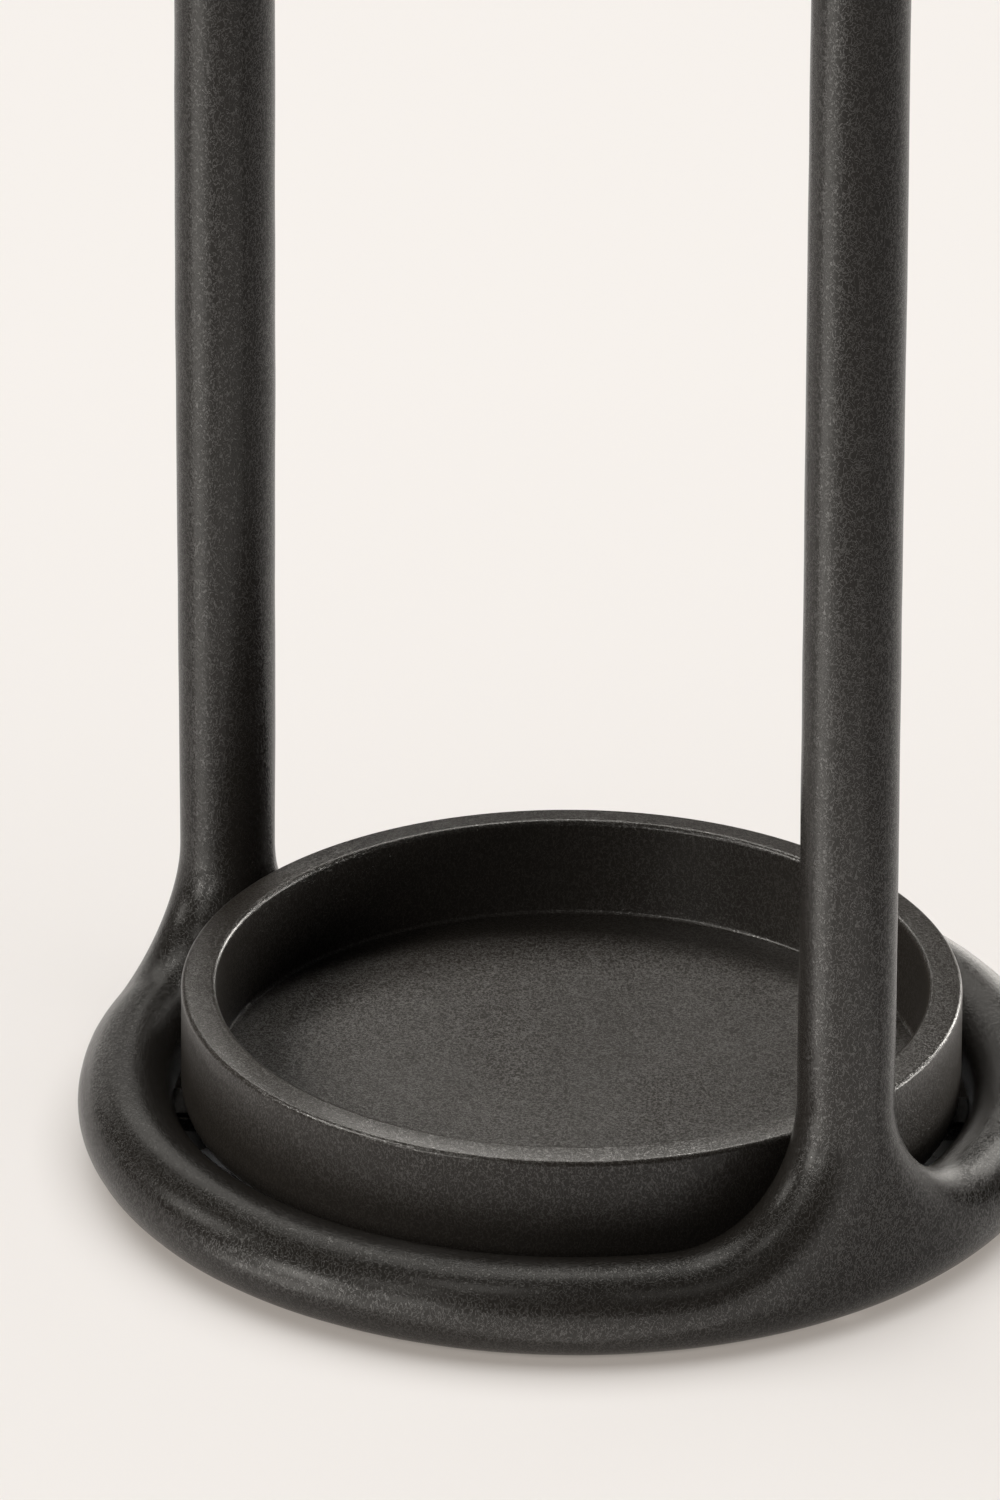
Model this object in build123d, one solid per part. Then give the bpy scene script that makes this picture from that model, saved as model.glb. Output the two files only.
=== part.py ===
from build123d import *
import math
import os

# Umbrella stand: a base ring and a top ring, both castings of round section with
# flared stubs, joined by two tube uprights that a tie rod inside each one pulls tight.
# A cast drip tray rests on rubber buffers inside the base ring and lifts straight out.
# Millimetres, +Z up, origin on the floor under the middle of the rings.

# Frame
STAND_HEIGHT = 550.0        # floor to the top of the top ring
RING_RADIUS = 128.5         # centre line of both rings
TUBE_D = 28.0               # section of the rings and outside of the uprights
FLARE_STEP = 0.3            # the stubs and uprights are this much slimmer on radius
FLARE_RADIUS = 30.0         # cast fillet that spreads each stub into its ring
FLARE_LAND = 4.0            # straight end of a stub between its flare and the joint
UPRIGHT_OFFSET = 16.0       # the uprights stand this far off the diameter, towards -Y

# Upright joints
UPRIGHT_WALL = 2.5
SPIGOT_LENGTH = 30.0        # half in the casting, half in the tube
SPIGOT_CHAMFER = 1.0
SPIGOT_CLEARANCE = 0.1      # on radius, in the tube and in the socket

# Tie rods and their screws
ROD_D = 10.0
ROD_CHAMFER = 1.0
ROD_END_GAP = 0.6           # keeps the rod off the casting so that the screw can pull
ROD_TAP_DEPTH = 18.0
SCREW_D = 6.0
SCREW_LENGTH = 25.0
SCREW_HEAD_D = 10.0
SCREW_HEAD_HEIGHT = 6.0
SCREW_KEY = 5.0             # across flats of the hexagon socket
SCREW_KEY_DEPTH = 3.0
WASHER_D = 12.0
WASHER_THICKNESS = 1.6
COUNTERBORE_SINK = 0.9      # screw head below the lowest line of the ring
CLAMP_THICKNESS = 12.0      # metal between the washer and the end of the rod
THREAD_CLEARANCE = 0.05     # on radius, between a thread and its tapped hole
HOLE_CLEARANCE = 0.3        # on radius, round rods, screws and washers
DRILL_RELIEF = 2.0          # blind holes run past what they hold

# Feet under the lugs, out of sight behind the base ring
FOOT_COUNT = 4
FOOT_PROUD = 1.5            # floor to the lowest line of the base ring
FOOT_SEAT_DEPTH = 1.0       # spot face that the foot's head is let into
FOOT_D = 13.4
FOOT_EDGE = 0.8
FOOT_GAP = 2.0              # between a foot's head and the buffer's barb beside it
FOOT_STEM_D = 6.0
FOOT_STEM_SHORT = 0.5       # end of the stem below the top of its lug
RUBBER_CLEARANCE = 0.1      # on radius, round pressed-in rubber

# Lugs and buffers that carry the tray
LUG_WIDTH = 18.0
LUG_THICKNESS = 6.0
LUG_DROP = 2.5              # top of the lugs below the ring's centre line
BUFFER_D = 12.0
BUFFER_HEIGHT = 2.5
BUFFER_STEM_D = 5.0
BUFFER_BARB_D = 6.5
BUFFER_BARB_LENGTH = 3.0
BUFFER_INSET = 2.0          # buffer's edge inside the tray's flat underside

# Drip tray
TRAY_GAP = 2.0              # on radius, between the tray and the ring's inner face
TRAY_HEIGHT = 38.0
TRAY_WALL = 10.0
TRAY_FLOOR = 8.0
TRAY_FOOT_RADIUS = 7.0      # rounded outer edge of the underside
TRAY_RIM_RADIUS = 1.6       # both edges of the rim
TRAY_CORNER_RADIUS = 1.2    # where the inner wall meets the floor

# Radii that follow
TUBE_R = TUBE_D / 2
STUB_R = TUBE_R - FLARE_STEP
BORE_R = STUB_R - UPRIGHT_WALL
SPIGOT_R = BORE_R - SPIGOT_CLEARANCE
WASHER_R = WASHER_D / 2
TRAY_R = RING_RADIUS - TUBE_R - TRAY_GAP
TRAY_INNER_R = TRAY_R - TRAY_WALL
BUFFER_CIRCLE_R = TRAY_R - TRAY_FOOT_RADIUS - BUFFER_INSET - BUFFER_D / 2
FOOT_CIRCLE_R = BUFFER_CIRCLE_R + BUFFER_BARB_D / 2 + FOOT_GAP + FOOT_D / 2

# Heights that follow
BASE_Z = FOOT_PROUD + TUBE_R
TOP_Z = STAND_HEIGHT - TUBE_R
STUB_LENGTH = TUBE_R + FLARE_RADIUS + FLARE_LAND
LOWER_JOINT_Z = BASE_Z + STUB_LENGTH
UPPER_JOINT_Z = TOP_Z - STUB_LENGTH
SOCKET_DEPTH = SPIGOT_LENGTH / 2
WASHER_SEAT_Z = FOOT_PROUD + COUNTERBORE_SINK + SCREW_HEAD_HEIGHT + WASHER_THICKNESS
ROD_SEAT_Z = WASHER_SEAT_Z + CLAMP_THICKNESS
ROD_FOOT_Z = ROD_SEAT_Z + ROD_END_GAP
LUG_TOP_Z = BASE_Z - LUG_DROP
LUG_FOOT_Z = LUG_TOP_Z - LUG_THICKNESS
FOOT_SEAT_Z = LUG_FOOT_Z + FOOT_SEAT_DEPTH
TRAY_Z = LUG_TOP_Z + BUFFER_HEIGHT

# Places that follow
UPRIGHT_ANGLE = math.degrees(math.asin(UPRIGHT_OFFSET / RING_RADIUS))
UPRIGHT_X = math.sqrt(RING_RADIUS**2 - UPRIGHT_OFFSET**2)
UPRIGHTS = {"left": (-UPRIGHT_X, -UPRIGHT_OFFSET), "right": (UPRIGHT_X, -UPRIGHT_OFFSET)}
FOOT_PITCH = 360 / FOOT_COUNT
FOOT_ANGLES = [FOOT_PITCH * (i + 0.5) for i in range(FOOT_COUNT)]


def rod(radius, z_from, z_to):
    """Plain round bar on the Z axis between two heights."""
    bar = Cylinder(radius, z_to - z_from, align=(Align.CENTER, Align.CENTER, Align.MIN))
    return Pos(0, 0, z_from) * bar


def end_edges(solid, *, lower=True, upper=True):
    """Outermost circles at the lower and upper end of a turned piece."""
    levels = solid.edges().filter_by(GeomType.CIRCLE).group_by(Axis.Z)
    ends = []
    if lower:
        ends.append(levels[0].sort_by(SortBy.RADIUS)[-1])
    if upper:
        ends.append(levels[-1].sort_by(SortBy.RADIUS)[-1])
    return ends


def on_circle(radius, angle):
    """Place on a circle round the Z axis, turned to face outwards."""
    return Rot(0, 0, angle) * Pos(radius, 0, 0)


def flared_ring():
    """Ring casting in its own frame: centre line at Z 0, stubs upwards."""
    stub = rod(STUB_R, 0, STUB_LENGTH)
    stub -= rod(SPIGOT_R + SPIGOT_CLEARANCE, STUB_LENGTH - SOCKET_DEPTH, STUB_LENGTH)
    half = Torus(RING_RADIUS, TUBE_R) + Pos(RING_RADIUS, 0, 0) * stub
    half = fillet(half.edges().filter_by(GeomType.BSPLINE), FLARE_RADIUS)
    half = split(Rot(0, 0, -UPRIGHT_ANGLE) * half, bisect_by=Plane.YZ)
    return half + mirror(half, about=Plane.YZ)


def lug(angle):
    """Flat tongue from the ring's section inwards, with a hole for the buffer's stem."""
    reach = RING_RADIUS - BUFFER_CIRCLE_R
    bar = Pos(reach / 2, 0, 0) * Box(reach, LUG_WIDTH, LUG_THICKNESS)
    tongue = bar + Cylinder(LUG_WIDTH / 2, LUG_THICKNESS)
    tongue -= Cylinder(BUFFER_STEM_D / 2 + RUBBER_CLEARANCE, LUG_THICKNESS)
    return on_circle(BUFFER_CIRCLE_R, angle) * Pos(0, 0, LUG_TOP_Z - LUG_THICKNESS / 2) * tongue


def base_ring():
    """Lower casting: tie screw holes under the uprights, and lugs for the tray and the feet."""
    body = Pos(0, 0, BASE_Z) * flared_ring()
    for angle in FOOT_ANGLES:
        body += lug(angle)
        seat = rod(FOOT_D / 2 + RUBBER_CLEARANCE, 0, FOOT_SEAT_Z)
        seat += rod(FOOT_STEM_D / 2 + RUBBER_CLEARANCE, FOOT_SEAT_Z, LUG_TOP_Z)
        body -= on_circle(FOOT_CIRCLE_R, angle) * seat
    for x, y in UPRIGHTS.values():
        drilling = rod(WASHER_R + HOLE_CLEARANCE, 0, WASHER_SEAT_Z)
        drilling += rod(SCREW_D / 2 + HOLE_CLEARANCE, WASHER_SEAT_Z, ROD_SEAT_Z)
        drilling += rod(ROD_D / 2 + HOLE_CLEARANCE, ROD_SEAT_Z, LOWER_JOINT_Z)
        body -= Pos(x, y, 0) * drilling
    return body


def top_ring():
    """Upper casting, turned over so that its stubs point down, tapped for the tie rods."""
    body = Pos(0, 0, TOP_Z) * Rot(0, 180, 0) * flared_ring()
    for x, y in UPRIGHTS.values():
        tapping = rod(ROD_D / 2 + THREAD_CLEARANCE, UPPER_JOINT_Z, TOP_Z + DRILL_RELIEF)
        body -= Pos(x, y, 0) * tapping
    return body


def upright():
    """Tube between the two castings, square at both ends."""
    return rod(STUB_R, LOWER_JOINT_Z, UPPER_JOINT_Z) - rod(BORE_R, LOWER_JOINT_Z, UPPER_JOINT_Z)


def spigot(joint_z):
    """Hollow dowel centred on a joint, half in the socket and half in the tube."""
    foot_z = joint_z - SPIGOT_LENGTH / 2
    dowel = rod(SPIGOT_R, foot_z, foot_z + SPIGOT_LENGTH)
    dowel -= rod(ROD_D / 2 + HOLE_CLEARANCE, foot_z, foot_z + SPIGOT_LENGTH)
    return chamfer(end_edges(dowel), SPIGOT_CHAMFER)


def tie_rod():
    """Bar from the top ring's tapped hole down to the tie screw."""
    bar = rod(ROD_D / 2, ROD_FOOT_Z, TOP_Z)
    bar = chamfer(end_edges(bar), ROD_CHAMFER)
    return bar - rod(SCREW_D / 2 + THREAD_CLEARANCE, ROD_FOOT_Z, ROD_FOOT_Z + ROD_TAP_DEPTH)


def tie_screw():
    """Socket head screw, entered from below, that pulls the tie rod down."""
    head_top = WASHER_SEAT_Z - WASHER_THICKNESS
    head_foot = head_top - SCREW_HEAD_HEIGHT
    screw = rod(SCREW_HEAD_D / 2, head_foot, head_top)
    screw += rod(SCREW_D / 2, head_top, head_top + SCREW_LENGTH)
    key_outline = RegularPolygon(SCREW_KEY / 2, 6, major_radius=False)
    return screw - Pos(0, 0, head_foot) * extrude(key_outline, SCREW_KEY_DEPTH)


def washer():
    """Plain washer against the counterbore."""
    bottom = WASHER_SEAT_Z - WASHER_THICKNESS
    return rod(WASHER_R, bottom, WASHER_SEAT_Z) - rod(
        SCREW_D / 2 + HOLE_CLEARANCE, bottom, WASHER_SEAT_Z
    )


def foot(angle):
    """Rubber foot: a head let into the underside of a lug and a stem pressed through it."""
    head = fillet(end_edges(rod(FOOT_D / 2, 0, FOOT_SEAT_Z), upper=False), FOOT_EDGE)
    stem = rod(FOOT_STEM_D / 2, FOOT_SEAT_Z, LUG_TOP_Z - FOOT_STEM_SHORT)
    return on_circle(FOOT_CIRCLE_R, angle) * (head + stem)


def tray_buffer(angle):
    """Rubber button on a lug, held by a barb under it."""
    head = rod(BUFFER_D / 2, LUG_TOP_Z, TRAY_Z)
    stem = rod(BUFFER_STEM_D / 2, LUG_FOOT_Z, LUG_TOP_Z)
    barb = Cone(
        BUFFER_STEM_D / 2,
        BUFFER_BARB_D / 2,
        BUFFER_BARB_LENGTH,
        align=(Align.CENTER, Align.CENTER, Align.MAX),
    )
    return on_circle(BUFFER_CIRCLE_R, angle) * (head + stem + Pos(0, 0, LUG_FOOT_Z) * barb)


def drip_tray():
    """Thick-walled round dish with a flat rim and a rounded lower edge."""
    rim_z = TRAY_Z + TRAY_HEIGHT
    floor_z = TRAY_Z + TRAY_FLOOR
    dish = rod(TRAY_R, TRAY_Z, rim_z) - rod(TRAY_INNER_R, floor_z, rim_z)
    levels = dish.edges().filter_by(GeomType.CIRCLE).group_by(Axis.Z)
    dish = fillet(levels[-1], TRAY_RIM_RADIUS)
    levels = dish.edges().filter_by(GeomType.CIRCLE).group_by(Axis.Z)
    dish = fillet(levels[0], TRAY_FOOT_RADIUS)
    corner = [
        e
        for e in dish.edges().filter_by(GeomType.CIRCLE)
        if abs(e.center().Z - floor_z) < TRAY_CORNER_RADIUS / 2
    ]
    return fillet(corner, TRAY_CORNER_RADIUS)


def nodes():
    """Every separate piece of the stand under its own name."""
    pieces = {"base_ring": base_ring(), "top_ring": top_ring(), "drip_tray": drip_tray()}
    for side, (x, y) in UPRIGHTS.items():
        spot = Pos(x, y, 0)
        pieces[f"{side}_upright"] = spot * upright()
        pieces[f"lower_{side}_spigot"] = spot * spigot(LOWER_JOINT_Z)
        pieces[f"upper_{side}_spigot"] = spot * spigot(UPPER_JOINT_Z)
        pieces[f"{side}_tie_rod"] = spot * tie_rod()
        pieces[f"{side}_tie_screw"] = spot * tie_screw()
        pieces[f"{side}_washer"] = spot * washer()
    for number, angle in enumerate(FOOT_ANGLES, start=1):
        pieces[f"foot_{number}"] = foot(angle)
        pieces[f"tray_buffer_{number}"] = tray_buffer(angle)
    return pieces


os.makedirs("parts", exist_ok=True)
for name, piece in nodes().items():
    export_step(piece, f"parts/{name}.step")
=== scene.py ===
"""Umbrella stand: the finished surfaces of a ring-framed stand and its lift-out drip tray."""

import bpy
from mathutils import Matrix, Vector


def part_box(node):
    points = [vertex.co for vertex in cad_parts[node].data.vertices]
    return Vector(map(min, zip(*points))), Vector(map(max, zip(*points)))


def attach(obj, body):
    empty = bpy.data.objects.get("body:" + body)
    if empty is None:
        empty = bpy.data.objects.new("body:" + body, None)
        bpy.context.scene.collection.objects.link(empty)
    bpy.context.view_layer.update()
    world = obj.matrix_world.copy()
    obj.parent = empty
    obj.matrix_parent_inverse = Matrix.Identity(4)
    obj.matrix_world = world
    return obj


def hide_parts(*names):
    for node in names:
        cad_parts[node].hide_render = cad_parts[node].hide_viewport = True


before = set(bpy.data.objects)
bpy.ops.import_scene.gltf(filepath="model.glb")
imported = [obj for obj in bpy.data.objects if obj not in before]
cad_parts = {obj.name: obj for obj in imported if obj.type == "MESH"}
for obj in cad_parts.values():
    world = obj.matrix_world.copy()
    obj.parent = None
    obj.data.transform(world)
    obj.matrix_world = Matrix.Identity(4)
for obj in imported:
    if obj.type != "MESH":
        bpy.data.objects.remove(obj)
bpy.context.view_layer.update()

import math

import bmesh
import bpy
import numpy as np
from mathutils import Matrix, Vector, noise

bl_info = {
    "name": "Umbrella Stand",
    "version": (1, 0, 0),
    "blender": (4, 5, 0),
    "location": "View3D > Sidebar > Umbrella Stand",
    "description": "Builds a ring-framed umbrella stand with a lift-out drip tray",
    "category": "Add Mesh",
}

MM = 0.001
SIDES = ("left", "right")
CORNERS = range(1, 5)

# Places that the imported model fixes, in metres.
RING_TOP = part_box("top_ring")[1]
RING_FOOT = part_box("base_ring")[0]
UPRIGHT_BOX = {side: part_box(f"{side}_upright") for side in SIDES}
TRAY_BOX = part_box("drip_tray")
FOOT_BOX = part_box("foot_1")
BUFFER_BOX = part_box("tray_buffer_1")
WASHER_BOX = {side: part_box(f"{side}_washer") for side in SIDES}

# The photograph's frame and the camera that fits it.
PHOTO_SIZE = (1000, 1500)
PHOTO_FOCAL = 19942.0           # pixels
PHOTO_RING_CENTRE = (571.0, 1097.5)  # pixels: where the base ring's centre falls
CAMERA_DISTANCE = 5.757         # metres, from the base ring's centre
SENSOR = 36.0                   # millimetres


def linear(hex_colour):
    """sRGB hex colour as linear RGB."""
    parts = [int(hex_colour[i : i + 2], 16) / 255 for i in (1, 3, 5)]
    return tuple(c / 12.92 if c <= 0.04045 else ((c + 0.055) / 1.055) ** 2.4 for c in parts)


def length(name, description, millimetres):
    """A size that a user can set, given in millimetres."""
    return bpy.props.FloatProperty(
        name=name, description=description, default=millimetres * MM, unit="LENGTH", precision=5
    )


def degrees(name, description, value):
    """An angle that a user can set, given in degrees."""
    return bpy.props.FloatProperty(
        name=name, description=description, default=math.radians(value), subtype="ANGLE"
    )


def colour(name, description, hex_colour):
    """A colour that a user can set."""
    return bpy.props.FloatVectorProperty(
        name=name, description=description, default=linear(hex_colour), subtype="COLOR", size=3
    )


class StandSizes(bpy.types.PropertyGroup):
    """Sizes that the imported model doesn't fix."""

    tube_radius: length("Tube radius", "Section of the rings and uprights", 14.0)
    left_bend: length("Left bend", "Centre-line bend of the flares of the left upright", 42.0)
    right_bend: length("Right bend", "Centre-line bend of the flares of the right upright", 54.0)
    mesh_step: length("Mesh step", "Spacing of the frame's mesh along its tubes", 2.2)
    left_swell: length("Left swell", "How much thicker the left upright grows on radius", 0.55)
    left_lean: length("Left lean", "How far the left upright leans out and aside", 0.35)
    cast_ripple: length("Cast ripple", "Depth of the casting's slow unevenness", 0.25)
    ripple_length: length("Ripple length", "Distance from crest to crest of the unevenness", 26.0)
    screw_room: length("Screw room", "Clearance round the washers under the base ring", 0.3)
    tray_wall: length("Tray wall", "Thickness of the tray's wall and width of its rim", 10.0)
    tray_floor: length("Tray floor", "Thickness of the tray's floor", 8.0)
    tray_foot_round: length("Tray foot round", "Rounding under the tray's outer edge", 7.0)
    tray_rim_round: length("Tray rim round", "Rounding of both rim edges", 1.6)
    tray_rim_fall: length("Tray rim fall", "How much lower the rim's outer edge is", 0.8)
    tray_corner_round: length("Tray corner round", "Rounding where wall meets floor", 1.2)
    lug_width: length("Lug width", "Width of the tongues that carry the tray", 18.0)
    lug_thickness: length("Lug thickness", "Thickness of the tongues", 6.0)
    lug_round: length("Lug round", "Rounding of the tongues' cast edges", 1.4)
    foot_seat: length("Foot seat", "Depth of the spot face that a foot is let into", 1.0)
    foot_stem: length("Foot stem", "Radius of a foot's pressed-in stem", 3.0)
    buffer_height: length("Buffer height", "Thickness of a buffer's head", 2.5)
    buffer_stem: length("Buffer stem", "Radius of a buffer's stem", 2.5)
    buffer_barb: length("Buffer barb", "Radius of the barb under a lug", 3.25)


class StandFinish(bpy.types.PropertyGroup):
    """Colours and grain of the finishes."""

    frame_coat: colour("Frame coat", "Black of the frame's powder coat", "#1b1917")
    tray_coat: colour("Tray coat", "Black of the tray's powder coat", "#2b2825")
    rubber: colour("Rubber", "Feet and buffers", "#161616")
    zinc: colour("Zinc", "Plated rods, screws and dowels", "#a9abad")
    floor: colour("Floor", "Studio floor", "#f2ede8")
    coat_grain: length("Coat grain", "Width of one wrinkle of the frame's coat", 1.05)
    tray_grain: length("Tray grain", "Width of one grain of the tray's coat", 1.0)


def sizes():
    """The sizes set in this scene."""
    return bpy.context.scene.stand_sizes


def finish():
    """The colours and grain set in this scene."""
    return bpy.context.scene.stand_finish


def add_node(tree, kind, values=None, links=None, **settings):
    """Adds a node with its settings, its socket values and the links into it."""
    made = tree.nodes.new(kind)
    for name, value in settings.items():
        setattr(made, name, value)
    for socket, value in (values or {}).items():
        made.inputs[socket].default_value = value
    for socket, source in (links or {}).items():
        tree.links.new(source, made.inputs[socket])
    return made


def new_material(name, **values):
    """A material, with the socket values that are the same all over it."""
    material = bpy.data.materials.new(name)
    material.use_nodes = True
    shader = material.node_tree.nodes["Principled BSDF"]
    for socket, value in values.items():
        shader.inputs[socket.replace("_", " ")].default_value = value
    return material, material.node_tree, shader


# Values that noise textures mostly lie between.
NOISE_RANGE = {"From Min": 0.3, "From Max": 0.7}
# Powder coat: how far from its middle value the folds' noise still counts as crest, stretch of
# the folds along the uprights, width of the patches of thicker coat and their change of roughness.
CREST_WIDTH = 0.06
FOLD_STRETCH = (1.0, 1.0, 0.7)
PATCH_WIDTH = 30 * MM
PATCH_GLOSS = 0.02


def textured_coat(name, base, grain, depth, roughness, dull, shine, painted_crest_light):
    """Polyester powder coat, sprayed and baked: black, with a finely wrinkled skin.

    The crests of the wrinkles are thin wavy lines that shine, and the hollows between them
    stay dull, so every highlight breaks up into short dashes. The base colour is painted paler
    on the crests and darker in the hollows, as painted highlight and painted shade on the folds.
    Slow patches of thicker coat are a little smoother. Real wrinkles are about half a millimetre
    apart. They are drawn about twice as coarse, because finer ones don't show in the render.
    """
    material, tree, shader = new_material(name, IOR=1.5, Specular_IOR_Level=(dull + shine) / 2)
    where = add_node(tree, "ShaderNodeTexCoord").outputs["Object"]
    stretched = add_node(tree, "ShaderNodeMapping", {"Scale": FOLD_STRETCH}, {"Vector": where})
    folds = add_node(
        tree,
        "ShaderNodeTexNoise",
        {"Scale": 1 / grain, "Detail": 2.0, "Roughness": 0.5, "Distortion": 0.6},
        {"Vector": stretched.outputs["Vector"]},
    )
    patch = add_node(
        tree,
        "ShaderNodeTexNoise",
        {"Scale": 1 / PATCH_WIDTH, "Detail": 1.0},
        {"Vector": where},
    )
    off_crest = add_node(
        tree,
        "ShaderNodeMath",
        {1: 0.5},
        {0: folds.outputs["Fac"]},
        operation="SUBTRACT",
    )
    slope = add_node(
        tree, "ShaderNodeMath", links={0: off_crest.outputs["Value"]}, operation="ABSOLUTE"
    )
    crest = add_node(
        tree,
        "ShaderNodeMapRange",
        {"From Min": CREST_WIDTH, "From Max": 0.0},
        {"Value": slope.outputs["Value"]},
        interpolation_type="SMOOTHSTEP",
    )
    bump = add_node(
        tree,
        "ShaderNodeBump",
        {"Strength": 1.0, "Distance": depth},
        {"Height": crest.outputs["Result"]},
    )
    sheen = add_node(
        tree,
        "ShaderNodeMapRange",
        {"To Min": dull, "To Max": shine},
        {"Value": crest.outputs["Result"]},
    )
    gloss = add_node(
        tree,
        "ShaderNodeMapRange",
        {**NOISE_RANGE, "To Min": roughness - PATCH_GLOSS, "To Max": roughness + PATCH_GLOSS},
        {"Value": patch.outputs["Fac"]},
    )
    # Painted highlight and shade: the base colour is paler on the wrinkles' crests and darker in
    # their hollows.
    shade = add_node(
        tree,
        "ShaderNodeMapRange",
        {"To Min": 1 - painted_crest_light, "To Max": 1 + painted_crest_light},
        {"Value": crest.outputs["Result"]},
    )
    tint = add_node(
        tree,
        "ShaderNodeVectorMath",
        {0: base},
        {"Scale": shade.outputs["Result"]},
        operation="SCALE",
    )
    tree.links.new(tint.outputs["Vector"], shader.inputs["Base Color"])
    tree.links.new(gloss.outputs["Result"], shader.inputs["Roughness"])
    tree.links.new(sheen.outputs["Result"], shader.inputs["Specular IOR Level"])
    tree.links.new(bump.outputs["Normal"], shader.inputs["Normal"])
    return material


def frame_coat(name):
    """Coat of the frame and its lugs: glossy enough for clear highlights along the tubes."""
    look = finish()
    return textured_coat(
        name,
        look.frame_coat,
        look.coat_grain,
        depth=0.025 * MM,
        roughness=0.25,
        dull=0.16,
        shine=0.44,
        painted_crest_light=0.1,
    )


def tray_coat(name):
    """Coat of the tray: the same wrinkle over a paler, duller ground."""
    look = finish()
    return textured_coat(
        name,
        look.tray_coat,
        look.tray_grain,
        depth=0.025 * MM,
        roughness=0.3,
        dull=0.3,
        shine=1.0,
        painted_crest_light=0.2,
    )


def moulded_rubber(name):
    """Moulded nitrile rubber: dull black with a faint bloom and a matt, finely etched skin.

    The etching is drawn coarser than the real tenth of a millimetre, so that it shows.
    """
    etching, etching_depth = 0.5 * MM, 0.04 * MM
    bloom_width, bloom_shade = 6 * MM, (0.8, 1.35)
    material, tree, shader = new_material(name, IOR=1.52, Roughness=0.8)
    where = add_node(tree, "ShaderNodeTexCoord").outputs["Object"]
    skin = add_node(
        tree, "ShaderNodeTexNoise", {"Scale": 1 / etching, "Detail": 2.0}, {"Vector": where}
    )
    bloom = add_node(
        tree, "ShaderNodeTexNoise", {"Scale": 1 / bloom_width, "Detail": 3.0}, {"Vector": where}
    )
    bump = add_node(
        tree,
        "ShaderNodeBump",
        {"Strength": 1.0, "Distance": etching_depth},
        {"Height": skin.outputs["Fac"]},
    )
    shade = add_node(
        tree,
        "ShaderNodeMapRange",
        {**NOISE_RANGE, "To Min": bloom_shade[0], "To Max": bloom_shade[1]},
        {"Value": bloom.outputs["Fac"]},
    )
    tint = add_node(
        tree,
        "ShaderNodeVectorMath",
        {0: finish().rubber},
        {"Scale": shade.outputs["Result"]},
        operation="SCALE",
    )
    tree.links.new(tint.outputs["Vector"], shader.inputs["Base Color"])
    tree.links.new(bump.outputs["Normal"], shader.inputs["Normal"])
    return material


def zinc_plate(name):
    """Bright zinc plate on turned steel: pale grey metal with fine turning lines round each bar.

    The lines are drawn coarser than the real tenth of a millimetre, so that they show.
    """
    line_pitch, line_depth, line_stretch = 0.4 * MM, 0.01 * MM, (0.05, 0.05, 1.0)
    roughness = (0.28, 0.46)
    material, tree, shader = new_material(name, Base_Color=(*finish().zinc, 1), Metallic=1.0)
    where = add_node(tree, "ShaderNodeTexCoord").outputs["Object"]
    stretched = add_node(tree, "ShaderNodeMapping", {"Scale": line_stretch}, {"Vector": where})
    turning = add_node(
        tree,
        "ShaderNodeTexNoise",
        {"Scale": 1 / line_pitch, "Detail": 2.0},
        {"Vector": stretched.outputs["Vector"]},
    )
    gloss = add_node(
        tree,
        "ShaderNodeMapRange",
        {**NOISE_RANGE, "To Min": roughness[0], "To Max": roughness[1]},
        {"Value": turning.outputs["Fac"]},
    )
    bump = add_node(
        tree,
        "ShaderNodeBump",
        {"Strength": 1.0, "Distance": line_depth},
        {"Height": turning.outputs["Fac"]},
    )
    tree.links.new(gloss.outputs["Result"], shader.inputs["Roughness"])
    tree.links.new(bump.outputs["Normal"], shader.inputs["Normal"])
    return material


def floor_paint(name):
    """Matt emulsion on the studio floor: pale warm white with no sheen."""
    material, _, _ = new_material(
        name, Base_Color=(*finish().floor, 1), Roughness=0.9, Specular_IOR_Level=0.1
    )
    return material


FINISHES = {
    "wrinkle powder coat": frame_coat,
    "fine powder coat": tray_coat,
    "moulded rubber": moulded_rubber,
    "zinc plate": zinc_plate,
    "matt floor paint": floor_paint,
}


def finish_named(name):
    """The material of that name, made the first time that a piece asks for it."""
    return bpy.data.materials.get(name) or FINISHES[name](name)


# Degrees: bends sharper than this show as edges.
SMOOTH_ANGLE = 40
SKIN_SMOOTH_ANGLE = 75
# Metres: points this close are one point, and edges this short are dropped.
SAME_POINT = 1e-6
NO_LENGTH = 1e-7


def weld(mesh, smooth_angle=SMOOTH_ANGLE):
    """Joins a mesh's seams, turns its faces outwards and shades it smooth between its edges."""
    work = bmesh.new()
    work.from_mesh(mesh)
    bmesh.ops.remove_doubles(work, verts=work.verts, dist=SAME_POINT)
    bmesh.ops.dissolve_degenerate(work, edges=work.edges, dist=NO_LENGTH)
    bmesh.ops.recalc_face_normals(work, faces=work.faces)
    work.to_mesh(mesh)
    work.free()
    mesh.polygons.foreach_set("use_smooth", [True] * len(mesh.polygons))
    mesh.set_sharp_from_angle(angle=math.radians(smooth_angle))


def new_piece(name, vertices, edges, faces, material):
    """A mesh object at the origin."""
    mesh = bpy.data.meshes.new(name)
    mesh.from_pydata(vertices, edges, faces)
    mesh.materials.append(material)
    piece = bpy.data.objects.new(name, mesh)
    bpy.context.collection.objects.link(piece)
    return piece


def bake_modifiers(piece):
    """Turns the piece's modifiers into plain mesh."""
    graph = bpy.context.evaluated_depsgraph_get()
    mesh = bpy.data.meshes.new_from_object(piece.evaluated_get(graph), depsgraph=graph)
    piece.modifiers.clear()
    piece.data = mesh


def run_tree(piece, tree, values):
    """Runs a node tree on a piece with these inputs, and keeps the result as plain mesh."""
    modifier = piece.modifiers.new(tree.name, "NODES")
    modifier.node_group = tree
    for socket in tree.interface.items_tree:
        if socket.name in values:
            modifier[socket.identifier] = values[socket.name]
    bake_modifiers(piece)


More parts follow.
